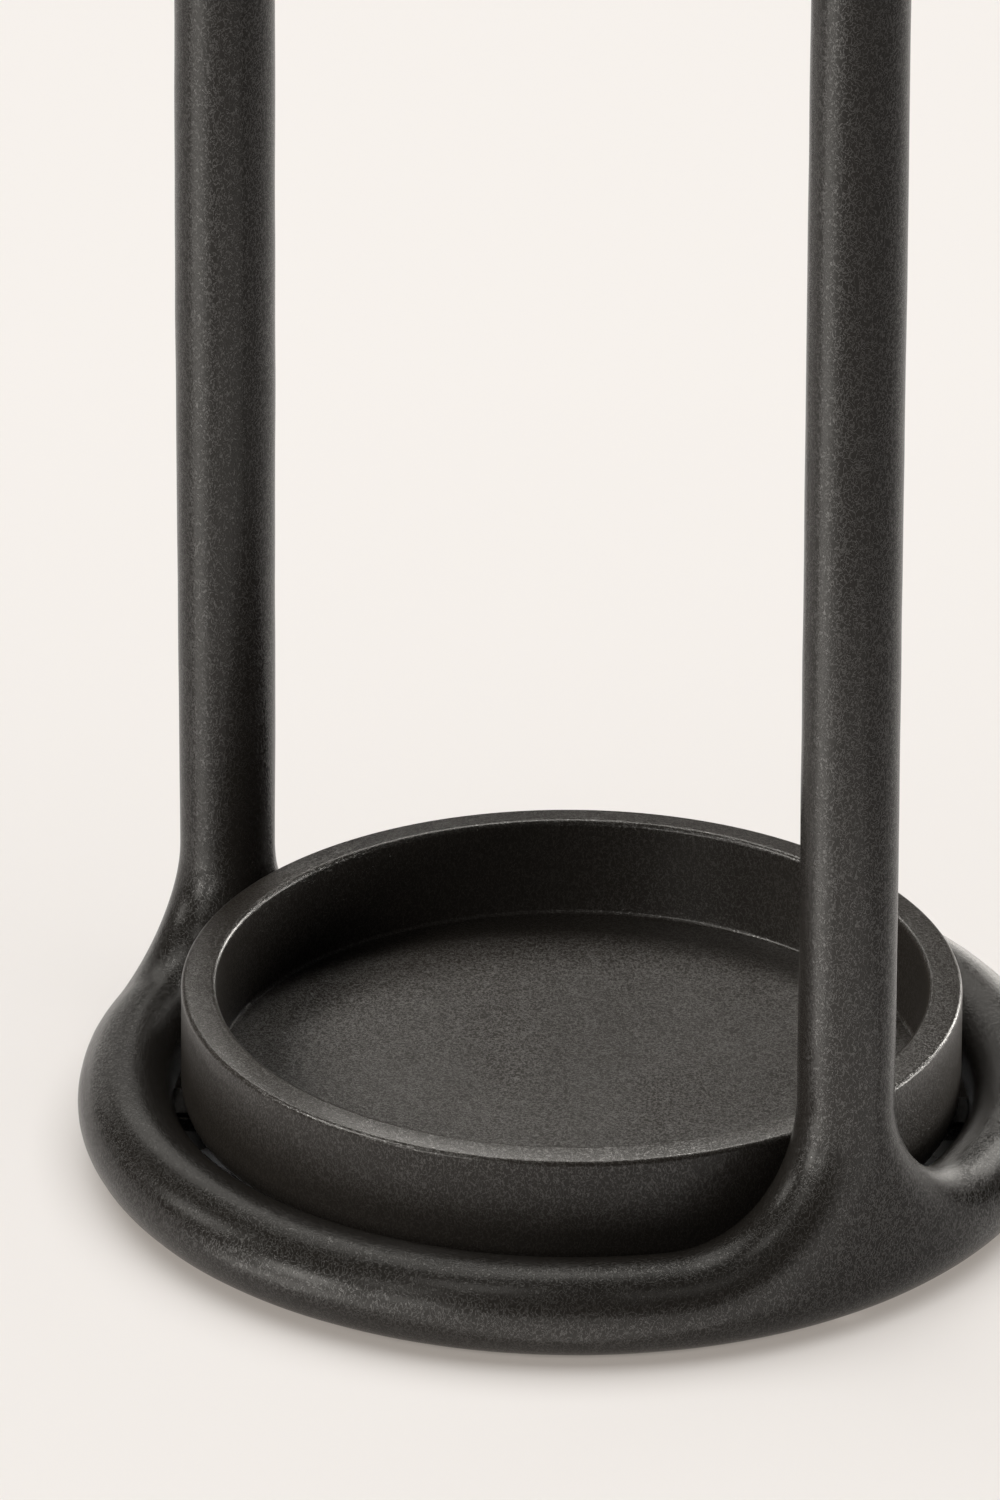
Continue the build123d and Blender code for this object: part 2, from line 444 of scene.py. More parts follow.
def new_tree(name, inputs):
    """An empty node tree with its named inputs, which takes and gives geometry."""
    tree = bpy.data.node_groups.new(name, "GeometryNodeTree")
    for socket, kind in inputs.items():
        tree.interface.new_socket(socket, in_out="INPUT", socket_type=f"NodeSocket{kind}")
    tree.interface.new_socket("Result", in_out="OUTPUT", socket_type="NodeSocketGeometry")
    return tree


def give_solid(tree, geometry, finish_socket):
    """Ends a node tree: real mesh with its finish."""
    solid = add_node(tree, "GeometryNodeRealizeInstances", links={"Geometry": geometry})
    painted = add_node(
        tree,
        "GeometryNodeSetMaterial",
        links={"Geometry": solid.outputs["Geometry"], "Material": finish_socket},
    )
    add_node(tree, "NodeGroupOutput", links={"Result": painted.outputs["Geometry"]})


def ripple(piece, depth, wave):
    """Sinks the surface by up to the given depth, in slow swells as a casting has."""
    mesh = piece.data
    points = np.empty(3 * len(mesh.vertices), dtype=np.float32)
    normals = np.empty_like(points)
    mesh.vertices.foreach_get("co", points)
    mesh.vertices.foreach_get("normal", normals)
    points, normals = points.reshape(-1, 3), normals.reshape(-1, 3)
    swell = np.array([0.5 + 0.5 * noise.noise(Vector(p) / wave) for p in points])
    points -= normals * (depth * swell)[:, None]
    mesh.vertices.foreach_set("co", points.ravel())
    mesh.update()


# Steps of the mesh: round the tray and along its outline, round the rubber pieces and along
# their small arcs, round a lug's nose and over its edges, and round a drilled hole.
TRAY_SEGMENTS = 224
TRAY_STEP = 5 * MM
TRAY_ARC_STEPS = 8
FOOT_SEGMENTS = 64
BUFFER_SEGMENTS = 48
RUBBER_ARC_STEPS = 5
LUG_NOSE_STEPS = 24
LUG_ROUND_STEPS = 4
HOLE_SEGMENTS = 64
# How far under the base ring a drill starts.
DRILL_RUN_IN = 10 * MM
# Roundings of the rubber pieces: edges that bear, moulded edges, corners and stem ends.
WORN_EDGE = 0.8 * MM
MOULDED_EDGE = 0.3 * MM
RUBBER_CORNER = 0.2 * MM
STEM_END = 0.5 * MM


def rounded_profile(corners, arc_steps):
    """Outline through (radius, height, rounding) corners, each rounding drawn as an arc."""
    outline = []
    for i, (x, y, rounding) in enumerate(corners):
        here = Vector((x, y))
        if rounding == 0:
            outline.append(here)
            continue
        before = (Vector(corners[i - 1][:2]) - here).normalized()
        after = (Vector(corners[i + 1][:2]) - here).normalized()
        half = before.angle(after) / 2
        centre = here + (before + after).normalized() * rounding / math.sin(half)
        start = here + before * rounding / math.tan(half) - centre
        end = here + after * rounding / math.tan(half) - centre
        sweep = start.angle_signed(end)
        for k in range(arc_steps + 1):
            turn = Matrix.Rotation(-sweep * k / arc_steps, 2)
            outline.append(centre + turn @ start)
    return outline


def divided(outline, step):
    """The outline with extra points on runs longer than the step."""
    points = [outline[0]]
    for a, b in zip(outline, outline[1:]):
        count = max(1, math.ceil((b - a).length / step))
        points += [a.lerp(b, k / count) for k in range(1, count + 1)]
    return points


def turned_outline():
    """Node tree that turns an outline, drawn upright on the X axis, round the Z axis.

    The sweep takes a profile's X as outwards from its circle and its -Y as up, so the outline
    is laid flat and moved in by the circle's radius.
    """
    name = "turned outline"
    tree = bpy.data.node_groups.get(name)
    if tree:
        return tree
    tree = new_tree(
        name,
        {"Outline": "Geometry", "Segments": "Int", "Radius": "Float", "Finish": "Material"},
    )
    given = add_node(tree, "NodeGroupInput").outputs
    line = add_node(tree, "GeometryNodeMeshToCurve", links={"Mesh": given["Outline"]})
    inwards = add_node(
        tree, "ShaderNodeMath", {1: -1.0}, {0: given["Radius"]}, operation="MULTIPLY"
    )
    to_circle = add_node(tree, "ShaderNodeCombineXYZ", links={"X": inwards.outputs["Value"]})
    profile = add_node(
        tree,
        "GeometryNodeTransform",
        {"Rotation": (math.pi / 2, 0, 0)},
        {"Geometry": line.outputs["Curve"], "Translation": to_circle.outputs["Vector"]},
    )
    circle = add_node(
        tree,
        "GeometryNodeCurvePrimitiveCircle",
        links={"Resolution": given["Segments"], "Radius": given["Radius"]},
    )
    sweep = add_node(
        tree,
        "GeometryNodeCurveToMesh",
        links={"Curve": circle.outputs["Curve"], "Profile Curve": profile.outputs["Geometry"]},
    )
    give_solid(tree, sweep.outputs["Mesh"], given["Finish"])
    return tree


def turned(name, outline, segments, material):
    """A piece with an outline of (radius, height) points turned round the Z axis."""
    points = [(radius, 0, height) for radius, height in outline]
    edges = [(i, i + 1) for i in range(len(points) - 1)]
    piece = new_piece(name, points, edges, [], material)
    radius = max(point[0] for point in points)
    run_tree(
        piece, turned_outline(), {"Segments": segments, "Radius": radius, "Finish": material}
    )
    weld(piece.data)
    return piece


def grid_faces(rows, columns, first):
    """Quads of a grid of vertices numbered row by row from first."""
    faces = []
    for i in range(rows - 1):
        low, high = first + i * columns, first + (i + 1) * columns
        for j in range(columns - 1):
            faces.append((low + j, low + j + 1, high + j + 1, high + j))
    return faces


class FrameSkin:
    """The frame's outer skin: both rings and both uprights as one flowing surface.

    The stand is a flat pattern rolled into a cylinder: two ring lines and two upright lines
    with a bend in each corner between them. The skin lies one tube radius from that pattern
    everywhere, so each corner spreads into a web as thick as the tube.
    """

    AROUND = 22         # steps across half a tube
    BEND_STEPS = 32     # steps along a bend
    WEB_STEPS = 12      # steps from an upright's line to its bend
    UPRIGHT_STEP = 1.5  # mesh step along the uprights, as a multiple of the rings'
    GROWTH_RUN = 0.17   # height over which the left upright thickens and leans

    def __init__(self):
        size = sizes()
        self.tube = size.tube_radius
        self.step = size.mesh_step
        self.ring = RING_TOP[0] - self.tube
        self.low = RING_FOOT[2] + self.tube
        self.high = RING_TOP[2] - self.tube
        self.bends = {"left": size.left_bend, "right": size.right_bend}
        self.swell, self.lean = size.left_swell / self.tube, size.left_lean
        self.angles = {}
        for side, (low, high) in UPRIGHT_BOX.items():
            middle = (Vector(low) + Vector(high)) / 2
            self.angles[side] = math.atan2(middle.y, middle.x) % (2 * math.pi)
        self.vertices = []
        self.faces = []

    def straight_run(self, side):
        """Heights of the mesh along an upright's line between its flares."""
        count = math.ceil((self.high - self.low) / (self.UPRIGHT_STEP * self.step))
        bend = self.bends[side]
        return np.linspace(self.low + bend, self.high - bend, count + 1)

    def place(self, angle, out, z):
        """Rolls the pattern up: rings follow the circle, uprights stay straight tubes."""
        left, right = self.angles["left"], self.angles["right"]
        from_left, from_right = (np.angle(np.exp(1j * (angle - a))) for a in (left, right))
        by_left = np.abs(from_left) < np.abs(from_right)
        nearest = np.where(by_left, left, right)
        along = self.ring * np.where(by_left, from_left, from_right)
        bend = np.where(by_left, self.bends["left"], self.bends["right"])
        rise = np.minimum(z - self.low, self.high - z)
        blend = np.clip((rise - self.tube) / (bend - self.tube), 0, 1)
        blend = blend * blend * (3 - 2 * blend)
        x = (self.ring + out) * np.cos(angle)
        y = (self.ring + out) * np.sin(angle)
        growth = by_left * np.clip((z - self.low - bend) / self.GROWTH_RUN, 0, 1)
        out = out * (1 + self.swell * growth) + self.lean * growth
        along = along * (1 + self.swell * growth) + self.lean * growth
        straight_x = (self.ring + out) * np.cos(nearest) - along * np.sin(nearest)
        straight_y = (self.ring + out) * np.sin(nearest) + along * np.cos(nearest)
        return np.stack(
            [x + (straight_x - x) * blend, y + (straight_y - y) * blend, z], axis=-1
        )

    def patch(self, angle, out, z, wrap=False):
        """Adds a grid of the pattern's points."""
        angle, out, z = np.broadcast_arrays(angle, out, z)
        rows, columns = angle.shape
        first = len(self.vertices)
        self.vertices += self.place(angle, out, z).reshape(-1, 3).tolist()
        self.faces += grid_faces(rows, columns, first)
        if wrap:
            end = first + (rows - 1) * columns
            for j in range(columns - 1):
                self.faces.append((end + j, end + j + 1, first + j + 1, first + j))

    def half_round(self):
        """Offsets into the opening and outwards for each step across half a tube."""
        across = np.linspace(-math.pi / 2, math.pi / 2, self.AROUND + 1)
        return self.tube * np.cos(across), self.tube * np.sin(across)

    def opening(self, first, last):
        """Half-tubes round the opening from one upright to the next, and its corners' webs.

        Gives the angles of the mesh along the ring from the first upright to the last.
        """
        low, high = self.low, self.high
        start = self.angles[first]
        end = start + (self.angles[last] - start) % (2 * math.pi)
        bend_1, bend_2 = self.bends[first], self.bends[last]
        flare_1, flare_2 = bend_1 / self.ring, bend_2 / self.ring
        count = math.ceil((end - start) * self.ring / self.step)
        run = np.linspace(start + flare_1, end - flare_2, count + 1)
        rise_1, rise_2 = self.straight_run(first), self.straight_run(last)
        turn = np.linspace(0, math.pi / 2, self.BEND_STEPS + 1)
        sine, cosine = np.sin(turn[1:-1]), np.cos(turn[1:-1])
        ones, zeros = np.ones_like, np.zeros_like
        legs = [
            (run, low * ones(run), zeros(run), ones(run)),
            (end - flare_2 * (1 - sine), low + bend_2 * (1 - cosine), -sine, cosine),
            (end * ones(rise_2), rise_2, -ones(rise_2), zeros(rise_2)),
            (end - flare_2 * (1 - cosine), high - bend_2 * (1 - sine), -cosine, -sine),
            (run[::-1], high * ones(run), zeros(run), -ones(run)),
            (start + flare_1 * (1 - sine), high - bend_1 * (1 - cosine), sine, -cosine),
            (start * ones(rise_1), rise_1[::-1], ones(rise_1), zeros(rise_1)),
            (start + flare_1 * (1 - cosine), low + bend_1 * (1 - sine), cosine, sine),
        ]
        angle, z, inward, upward = (np.concatenate(c)[:, None] for c in zip(*legs))
        into, out = self.half_round()
        self.patch(angle + inward * into / self.ring, out, z + upward * into, wrap=True)

        reach = np.linspace(0, 1, self.WEB_STEPS + 1)
        narrowing = (1 - np.sin(turn))[:, None] * reach
        climb = (1 - np.cos(turn))[:, None]
        for face in (-self.tube, self.tube):
            for angle, bend in (
                (start + flare_1 * narrowing, bend_1),
                (end - flare_2 * narrowing, bend_2),
            ):
                self.patch(angle, face, low + bend * climb)
                self.patch(angle, face, high - bend * climb)
        return np.concatenate([start + flare_1 * reach[:-1], run, end - flare_2 * reach[-2::-1]])

    def build(self):
        """Vertices and faces of the whole skin."""
        front = self.opening("left", "right")
        back = self.opening("right", "left")
        around = np.concatenate([front[:-1], back[:-1]])[:, None]
        into, out = self.half_round()
        self.patch(around, out, self.low - into, wrap=True)
        self.patch(around, out, self.high + into, wrap=True)
        return self.vertices, self.faces


def cut_hole(piece, centre, radius, top):
    """Cuts a flat-bottomed hole up into the piece from below."""
    start = RING_FOOT[2] - DRILL_RUN_IN
    outline = [(0, start), (radius, start), (radius, top), (0, top)]
    drill = turned("drill", outline, HOLE_SEGMENTS, piece.data.materials[0])
    drill.data.transform(Matrix.Translation((centre[0], centre[1], 0)))
    cut = piece.modifiers.new("hole", "BOOLEAN")
    cut.object = drill
    cut.solver = "MANIFOLD"
    bake_modifiers(piece)
    bpy.data.objects.remove(drill)


def ring_of_pieces():
    """Node tree that sets copies of a piece round a circle, each facing outwards."""
    name = "ring of pieces"
    tree = bpy.data.node_groups.get(name)
    if tree:
        return tree
    tree = new_tree(
        name,
        {
            "Piece": "Geometry",
            "Count": "Int",
            "Radius": "Float",
            "First Angle": "Float",
            "Finish": "Material",
        },
    )
    given = add_node(tree, "NodeGroupInput").outputs
    circle = add_node(
        tree,
        "GeometryNodeMeshCircle",
        links={"Vertices": given["Count"], "Radius": given["Radius"]},
    )
    index = add_node(tree, "GeometryNodeInputIndex")
    pitch = add_node(
        tree, "ShaderNodeMath", {0: 2 * math.pi}, {1: given["Count"]}, operation="DIVIDE"
    )
    angle = add_node(
        tree,
        "ShaderNodeMath",
        links={0: index.outputs["Index"], 1: pitch.outputs["Value"]},
        operation="MULTIPLY",
    )
    facing = add_node(tree, "ShaderNodeCombineXYZ", links={"Z": angle.outputs["Value"]})
    copies = add_node(
        tree,
        "GeometryNodeInstanceOnPoints",
        links={
            "Points": circle.outputs["Mesh"],
            "Instance": given["Piece"],
            "Rotation": facing.outputs["Vector"],
        },
    )
    start = add_node(tree, "ShaderNodeCombineXYZ", links={"Z": given["First Angle"]})
    spun = add_node(
        tree,
        "GeometryNodeTransform",
        links={"Geometry": copies.outputs["Instances"], "Rotation": start.outputs["Vector"]},
    )
    give_solid(tree, spun.outputs["Geometry"], given["Finish"])
    return tree


def set_round(piece, radius, material):
    """Repeats a piece at the four places round the base ring."""
    count = len(CORNERS)
    run_tree(
        piece,
        ring_of_pieces(),
        {"Count": count, "Radius": radius, "First Angle": math.pi / count, "Finish": material},
    )


def corner_radius(box):
    """Distance from the stand's axis to the middle of a node's box."""
    middle = (Vector(box[0]) + Vector(box[1])) / 2
    return math.hypot(middle.x, middle.y)


def lug_top():
    """Height of the lugs' upper face, on which the buffers' heads lie."""
    return BUFFER_BOX[1][2] - sizes().buffer_height


class STAND_OT_frame(bpy.types.Operator):
    """Makes the coated frame: rings, flares and uprights in one skin"""

    bl_idname = "stand.frame"
    bl_label = "Frame"

    def execute(self, context):
        size = sizes()
        vertices, faces = FrameSkin().build()
        coat = finish_named("wrinkle powder coat")
        piece = new_piece("frame_skin", vertices, [], faces, coat)
        weld(piece.data, SKIN_SMOOTH_ANGLE)
        ripple(piece, size.cast_ripple, size.ripple_length)
        for low, high in WASHER_BOX.values():
            middle = (Vector(low) + Vector(high)) / 2
            radius = (high[0] - low[0]) / 2 + size.screw_room
            cut_hole(piece, middle, radius, high[2])
        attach(piece, "frame")
        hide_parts("base_ring", "top_ring", "left_upright", "right_upright")
        return {"FINISHED"}


class STAND_OT_tray(bpy.types.Operator):
    """Makes the thick-walled drip tray"""

    bl_idname = "stand.tray"
    bl_label = "Drip tray"

    def execute(self, context):
        size = sizes()
        low, high = TRAY_BOX
        outer = high[0]
        inner = outer - size.tray_wall
        floor = low[2] + size.tray_floor
        outline = rounded_profile(
            [
                (0, low[2], 0),
                (outer, low[2], size.tray_foot_round),
                (outer, high[2] - size.tray_rim_fall, size.tray_rim_round),
                (inner, high[2], size.tray_rim_round),
                (inner, floor, size.tray_corner_round),
                (0, floor, 0),
            ],
            TRAY_ARC_STEPS,
        )
        coat = finish_named("fine powder coat")
        piece = turned("drip_tray_coat", divided(outline, TRAY_STEP), TRAY_SEGMENTS, coat)
        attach(piece, "tray")
        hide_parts("drip_tray")
        return {"FINISHED"}


class STAND_OT_lugs(bpy.types.Operator):
    """Makes the cast tongues inside the base ring that carry the tray"""

    bl_idname = "stand.lugs"
    bl_label = "Tray lugs"

    def execute(self, context):
        size = sizes()
        circle = corner_radius(BUFFER_BOX)
        reach = RING_TOP[0] - size.tube_radius - circle
        top = lug_top()
        half = size.lug_width / 2
        arc = np.linspace(math.pi / 2, 3 * math.pi / 2, LUG_NOSE_STEPS + 1)
        plan = [(half * math.cos(a), half * math.sin(a)) for a in arc]
        plan += [(reach, -half), (reach, half)]
        work = bmesh.new()
        base = work.faces.new([work.verts.new((x, y, 0)) for x, y in plan])
        raised = bmesh.ops.extrude_face_region(work, geom=[base])["geom"]
        corners = [g for g in raised if isinstance(g, bmesh.types.BMVert)]
        bmesh.ops.translate(work, verts=corners, vec=(0, 0, size.lug_thickness))
        edges = [e for e in work.edges if abs(e.verts[0].co.z - e.verts[1].co.z) < NO_LENGTH]
        bmesh.ops.bevel(
            work, geom=edges, offset=size.lug_round, segments=LUG_ROUND_STEPS, affect="EDGES"
        )
        vertices = [(v.co.x, v.co.y, v.co.z + top - size.lug_thickness) for v in work.verts]
        work.verts.index_update()
        faces = [[v.index for v in f.verts] for f in work.faces]
        work.free()
        coat = finish_named("wrinkle powder coat")
        piece = new_piece("tray_lugs", vertices, [], faces, coat)
        weld(piece.data)
        set_round(piece, circle, coat)
        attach(piece, "frame")
        return {"FINISHED"}


class STAND_OT_feet(bpy.types.Operator):
    """Makes the rubber feet under the base ring"""

    bl_idname = "stand.feet"
    bl_label = "Feet"

    def execute(self, context):
        size = sizes()
        low, high = FOOT_BOX
        head = (high[0] - low[0]) / 2
        seat = lug_top() - size.lug_thickness + size.foot_seat
        cup_depth, cup_inner, cup_outer = 0.4 * MM, 0.55 * head, 0.62 * head
        outline = rounded_profile(
            [
                (0, cup_depth, 0),
                (cup_inner, cup_depth, MOULDED_EDGE),
                (cup_outer, 0, MOULDED_EDGE),
                (head, 0, WORN_EDGE),
                (head, seat, RUBBER_CORNER),
                (size.foot_stem, seat, RUBBER_CORNER),
                (size.foot_stem, high[2], STEM_END),
                (0, high[2], 0),
            ],
            RUBBER_ARC_STEPS,
        )
        rubber = finish_named("moulded rubber")
        piece = turned("floor_feet", outline, FOOT_SEGMENTS, rubber)
        set_round(piece, corner_radius(FOOT_BOX), rubber)
        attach(piece, "frame")
        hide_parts(*(f"foot_{i}" for i in CORNERS))
        return {"FINISHED"}


class STAND_OT_buffers(bpy.types.Operator):
    """Makes the rubber buttons on the lugs under the tray"""

    bl_idname = "stand.buffers"
    bl_label = "Tray buffers"

    def execute(self, context):
        size = sizes()
        low, high = BUFFER_BOX
        head = (high[0] - low[0]) / 2
        lug_foot = lug_top() - size.lug_thickness
        outline = rounded_profile(
            [
                (0, low[2], 0),
                (size.buffer_stem, low[2], MOULDED_EDGE),
                (size.buffer_barb, lug_foot, RUBBER_CORNER),
                (size.buffer_stem, lug_foot, RUBBER_CORNER),
                (size.buffer_stem, lug_top(), RUBBER_CORNER),
                (head, lug_top(), MOULDED_EDGE),
                (head, high[2], WORN_EDGE),
                (0, high[2], 0),
            ],
            RUBBER_ARC_STEPS,
        )
        rubber = finish_named("moulded rubber")
        piece = turned("tray_buffers", outline, BUFFER_SEGMENTS, rubber)
        set_round(piece, corner_radius(BUFFER_BOX), rubber)
        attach(piece, "frame")
        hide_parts(*(f"tray_buffer_{i}" for i in CORNERS))
        return {"FINISHED"}


class STAND_OT_hardware(bpy.types.Operator):
    """Finishes the plated rods, dowels, screws and washers inside the frame"""

    bl_idname = "stand.hardware"
    bl_label = "Hardware"

    def execute(self, context):
        plate = finish_named("zinc plate")
        for side in SIDES:
            for node in (
                f"lower_{side}_spigot",
                f"upper_{side}_spigot",
                f"{side}_tie_rod",
                f"{side}_tie_screw",
                f"{side}_washer",
            ):
                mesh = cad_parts[node].data
                mesh.materials.clear()
                mesh.materials.append(plate)
        return {"FINISHED"}


def area_light(name, place, aim, size, power, tint):
    """A soft rectangular studio light."""
    data = bpy.data.lights.new(name, "AREA")
    data.shape = "RECTANGLE"
    data.size, data.size_y = size
    data.energy = power
    data.color = linear(tint)
    lamp = bpy.data.objects.new(name, data)
    lamp.location = place
    lamp.rotation_euler = (Vector(aim) - Vector(place)).to_track_quat("-Z", "Y").to_euler()
    lamp.visible_camera = False
    bpy.context.collection.objects.link(lamp)
    return lamp


# Pieces deep in the gap round the tray. Only the high lamps light them, so the tray shades them.
IN_THE_GAP = ("tray_lugs", "tray_buffers")
HIGH_LAMP = 60          # degrees

# Lamps that model the frame and the tray: turn from the camera and height in degrees, watts.
# Some stand below the floor, which doesn't block them: what the uprights mirror lies that low.
FRAME_LAMPS = (
    (-75, -18, 4),
    (-60, -18, 4),
    (-45, -18, 1.5),
    (-35, 6, 5),
    (-60, 6, 12),
    (-40, 30, 3),
    (-95, 25, 6),
    (-30, 55, 4),
    (-155, 8, 2.3),
    (-135, 70, 9),
    (-165, 45, 7),
    (180, 80, 10),
    (165, 4, 6),
    (150, 16, 4),
    (135, 45, 25),
    (125, -20, 1),
    (25, 45, 1.5),
)
TRAY_LAMPS = (
    (-40, 22, 9),
    (-80, 45, 21),
    (-165, 45, 9),
    (165, 58, 11),
    (135, 10, 20),
    (105, 4, 18),
)
LAMP_TINT = "#fffbf4"
LAMP_DISTANCE = 1.8     # metres
LAMP_AIM = (0, 0, 0.12)
LAMP_SIDE = 0.5
BACK_LAMP_SIDE = 1.0    # the frame's lamps behind, which the coat mirrors at a grazing angle
BACK_TURN = 120         # degrees

# The floor's two lamps share a place and a side. Each has its watts and its tint.
FLOOR_LAMP_PLACE = (180, 88, 10.5)
FLOOR_LAMP_SIDE = 15.0
FLOOR_KEY = (950, "#f3f9ff")
FLOOR_FILL = (985, "#fff9f3")
FLOOR_REACH = 12.0

# Bright patch of the floor towards the camera, which the frame's front mirrors.
GLOW_DISTANCE = 0.325
GLOW_HEIGHT = 4 * MM
GLOW_SIZE = (0.36, 0.52)
GLOW_POWER = 0.8

WORLD_TINT = "#f4f1ee"
WORLD_STRENGTH = 0.05
CUTTER_RISE = 2 * MM    # above the underside of the base ring
CUTTER_SIDES = 60


class STAND_OT_stage(bpy.types.Operator):
    """Sets the studio: floor, lights and the photograph's camera"""

    bl_idname = "stand.stage"
    bl_label = "Stage"

    azimuth: degrees("Azimuth", "Camera's turn round the stand", 45.86)
    elevation: degrees("Elevation", "Camera's height above the horizon", 26.355)
    roll: degrees("Roll", "Camera's tilt", 0.307)

    def execute(self, context):
        scene = context.scene
        floor, cutter = self.floor(), self.cutter()
        scene.world = self.world()
        self.lights(floor, cutter)
        scene.camera = self.camera()
        scene.view_settings.view_transform = "Standard"
        return {"FINISHED"}

    def floor(self):
        """Wide flat floor under the stand."""
        reach = FLOOR_REACH
        corners = [(-reach, -reach, 0), (reach, -reach, 0), (reach, reach, 0), (-reach, reach, 0)]
        paint = finish_named("matt floor paint")
        floor = new_piece("studio_floor", corners, [], [(0, 1, 2, 3)], paint)
        return floor

    def around(self, turn, height, distance):
        """A place given by its turn from the camera and its angle above the floor, in degrees."""
        turn = self.azimuth + math.radians(turn - 90)
        height = math.radians(height)
        level = Vector((math.cos(turn), math.sin(turn), 0)) * math.cos(height)
        return distance * (level + Vector((0, 0, math.sin(height))))

    def cutter(self):
        """Unseen disc that keeps the fill light off the floor under the tray, and lifts with it."""
        ring = RING_TOP[0] - sizes().tube_radius
        turns = [2 * math.pi * k / CUTTER_SIDES for k in range(CUTTER_SIDES)]
        height = RING_FOOT[2] + CUTTER_RISE
        rim = [(ring * math.cos(t), ring * math.sin(t), height) for t in turns]
        paint = finish_named("matt floor paint")
        cutter = new_piece("light_cutter", rim, [], [range(len(rim))], paint)
        for rays in ("camera", "diffuse", "glossy", "transmission", "volume_scatter"):
            setattr(cutter, f"visible_{rays}", False)
        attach(cutter, "tray")
        return cutter

    def world(self):
        """Faint even light from all round."""
        world = bpy.data.worlds.new("studio")
        world.use_nodes = True
        background = world.node_tree.nodes["Background"]
        background.inputs["Color"].default_value = (*linear(WORLD_TINT), 1)
        background.inputs["Strength"].default_value = WORLD_STRENGTH
        return world

    def group(self, name, state, *pieces):
        """A collection that lights or shadows are linked to: these pieces, or all but them."""
        made = bpy.data.collections.new(name)
        for piece in pieces:
            made.objects.link(piece)
        for linked in made.collection_objects:
            linked.light_linking.link_state = state
        return made

    def link(self, lamp, lit, blockers):
        """Sets what a lamp lights and what throws shadows in its light."""
        lamp.light_linking.receiver_collection = lit
        lamp.light_linking.blocker_collection = blockers

    def lights(self, floor, cutter):
        """Broad lights for the floor alone, and smaller ones that model the stand alone.

        The floor has a fill light that the frame doesn't block, so its contact shadow is pale.
        The fill is a little warmer than the light that makes the shadow.
        """
        tray = bpy.data.objects["drip_tray_coat"]
        in_gap = [bpy.data.objects[name] for name in IN_THE_GAP]
        only_floor = self.group("only floor", "INCLUDE", floor)
        only_tray = self.group("only tray", "INCLUDE", tray)
        only_cutter = self.group("only cutter", "INCLUDE", cutter)
        frame_alone = self.group("frame alone", "EXCLUDE", floor, tray, *in_gap)
        frame_and_gap = self.group("frame and gap", "EXCLUDE", floor, tray)
        stand_alone = self.group("stand alone", "EXCLUDE", floor, cutter)

        above = self.around(*FLOOR_LAMP_PLACE)
        broad = (FLOOR_LAMP_SIDE, FLOOR_LAMP_SIDE)
        for name, (power, tint), blockers in (
            ("floor", FLOOR_KEY, stand_alone),
            ("floor fill", FLOOR_FILL, only_cutter),
        ):
            lamp = area_light(name, above, (0, 0, 0), broad, power, tint)
            lamp.visible_glossy = False
            self.link(lamp, only_floor, blockers)

        lamps = [("frame", *lamp) for lamp in FRAME_LAMPS]
        lamps += [("tray", *lamp) for lamp in TRAY_LAMPS]
        for target, turn, height, power in lamps:
            side, lit = LAMP_SIDE, only_tray
            if target == "frame":
                side = BACK_LAMP_SIDE if abs(turn) > BACK_TURN else LAMP_SIDE
                lit = frame_and_gap if height > HIGH_LAMP else frame_alone
            place = self.around(turn, height, LAMP_DISTANCE)
            name = f"{target} {turn} {height}"
            lamp = area_light(name, place, LAMP_AIM, (side, side), power, LAMP_TINT)
            self.link(lamp, lit, stand_alone)

        place = self.around(0, 0, GLOW_DISTANCE) + Vector((0, 0, GLOW_HEIGHT))
        zenith = place + Vector((0, 0, 1))
        lamp = area_light("floor glow", place, zenith, GLOW_SIZE, GLOW_POWER, LAMP_TINT)
        lamp.rotation_euler = (math.pi, 0, self.azimuth - math.pi / 2)
        self.link(lamp, frame_alone, stand_alone)

    def camera(self):
        """The camera that took the photograph, as fitted to the stand's outlines."""
        pitch, roll = self.elevation, self.roll
        ahead = Vector((0, math.cos(pitch), -math.sin(pitch)))
        level = Vector((1, 0, 0))
        above = Vector((0, math.sin(pitch), math.cos(pitch)))
        right = math.cos(roll) * level + math.sin(roll) * above
        up = math.cos(roll) * above - math.sin(roll) * level
        per_pixel = CAMERA_DISTANCE / PHOTO_FOCAL
        aside = (PHOTO_RING_CENTRE[0] - PHOTO_SIZE[0] / 2) * per_pixel
        below = (PHOTO_RING_CENTRE[1] - PHOTO_SIZE[1] / 2) * per_pixel
        place = -CAMERA_DISTANCE * ahead - aside * right + below * up
        turn = Matrix.Rotation(self.azimuth, 3, "Z")
        axes = turn @ Matrix((right, up, -ahead)).transposed()
        ring_centre = Vector((0, 0, RING_FOOT[2] + sizes().tube_radius))
        data = bpy.data.cameras.new("photo camera")
        data.sensor_width = SENSOR
        data.lens = SENSOR * PHOTO_FOCAL / max(PHOTO_SIZE)
        camera = bpy.data.objects.new("photo camera", data)
        camera.matrix_world = Matrix.Translation(ring_centre + turn @ place) @ axes.to_4x4()
        bpy.context.collection.objects.link(camera)
        return camera


class STAND_PT_panel(bpy.types.Panel):
    """Sizes, finishes and pieces of the stand"""

    bl_idname = "STAND_PT_panel"
    bl_label = "Umbrella Stand"
    bl_space_type = "VIEW_3D"
    bl_region_type = "UI"
    bl_category = "Umbrella Stand"

    def draw(self, context):
        for group in (context.scene.stand_sizes, context.scene.stand_finish):
            column = self.layout.column()
            for name in group.__annotations__:
                column.prop(group, name)
        for operator in OPERATORS:
            self.layout.operator(operator.bl_idname)


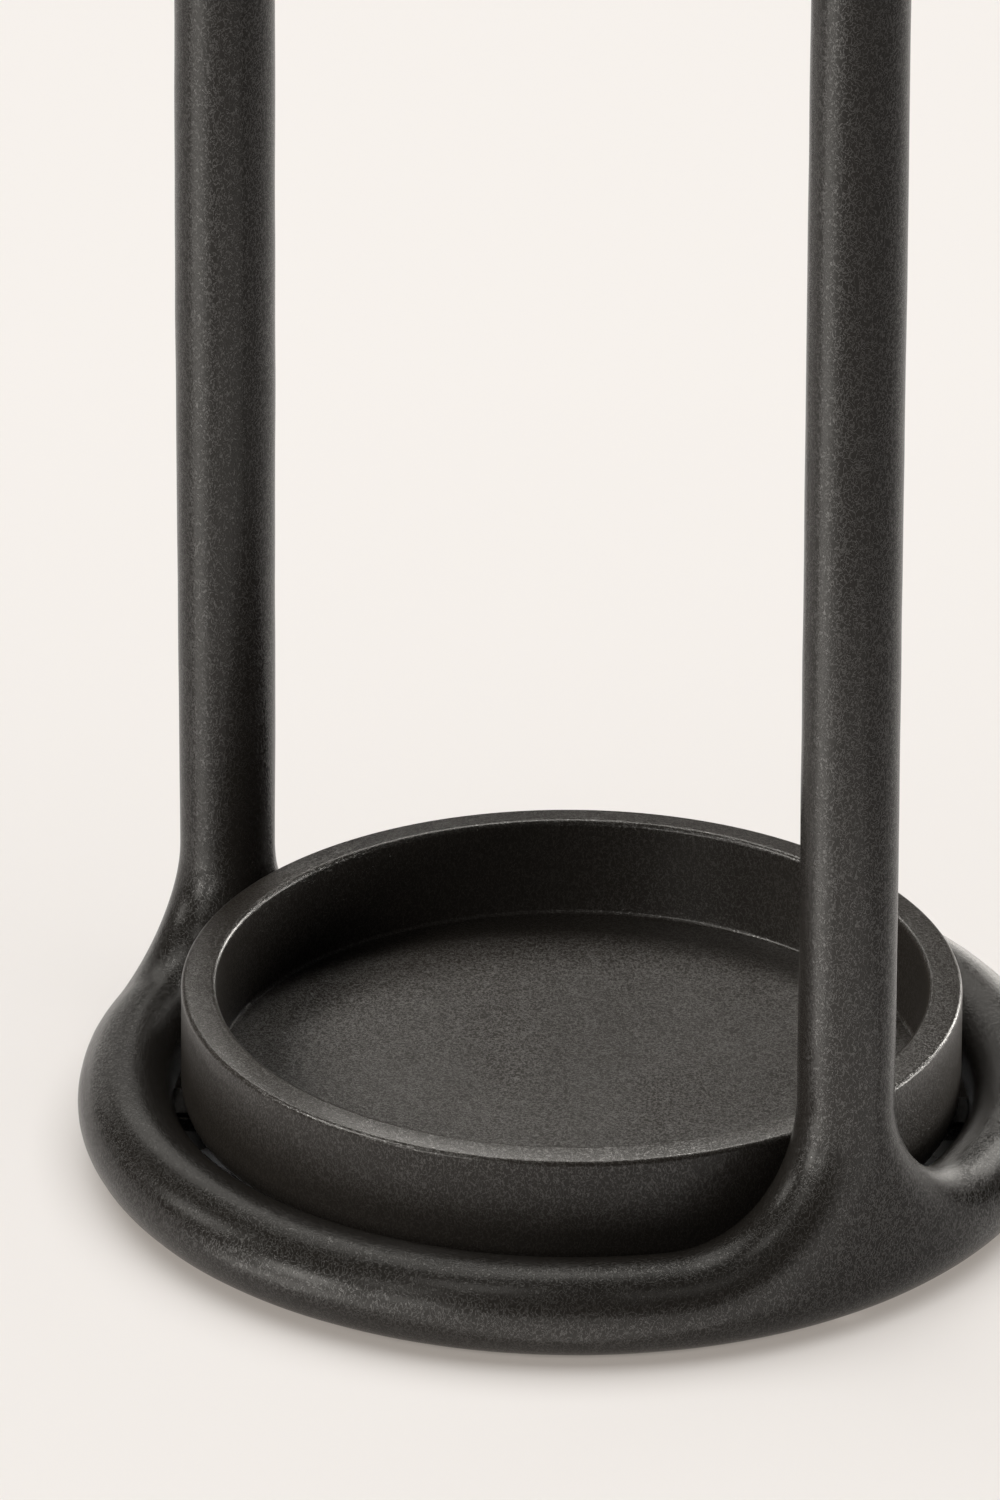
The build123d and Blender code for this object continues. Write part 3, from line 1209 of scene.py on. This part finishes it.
OPERATORS = (
    STAND_OT_frame,
    STAND_OT_tray,
    STAND_OT_lugs,
    STAND_OT_feet,
    STAND_OT_buffers,
    STAND_OT_hardware,
    STAND_OT_stage,
)
CLASSES = (StandSizes, StandFinish, *OPERATORS, STAND_PT_panel)


def register():
    """Adds the classes and the scene's settings."""
    for cls in CLASSES:
        bpy.utils.register_class(cls)
    bpy.types.Scene.stand_sizes = bpy.props.PointerProperty(type=StandSizes)
    bpy.types.Scene.stand_finish = bpy.props.PointerProperty(type=StandFinish)


def unregister():
    """Takes the settings and the classes away again."""
    del bpy.types.Scene.stand_finish
    del bpy.types.Scene.stand_sizes
    for cls in reversed(CLASSES):
        bpy.utils.unregister_class(cls)


def main():
    """Builds every piece and the studio."""
    register()
    for operator in (
        bpy.ops.stand.frame,
        bpy.ops.stand.tray,
        bpy.ops.stand.lugs,
        bpy.ops.stand.feet,
        bpy.ops.stand.buffers,
        bpy.ops.stand.hardware,
        bpy.ops.stand.stage,
    ):
        operator()


if __name__ == "__main__":
    main()
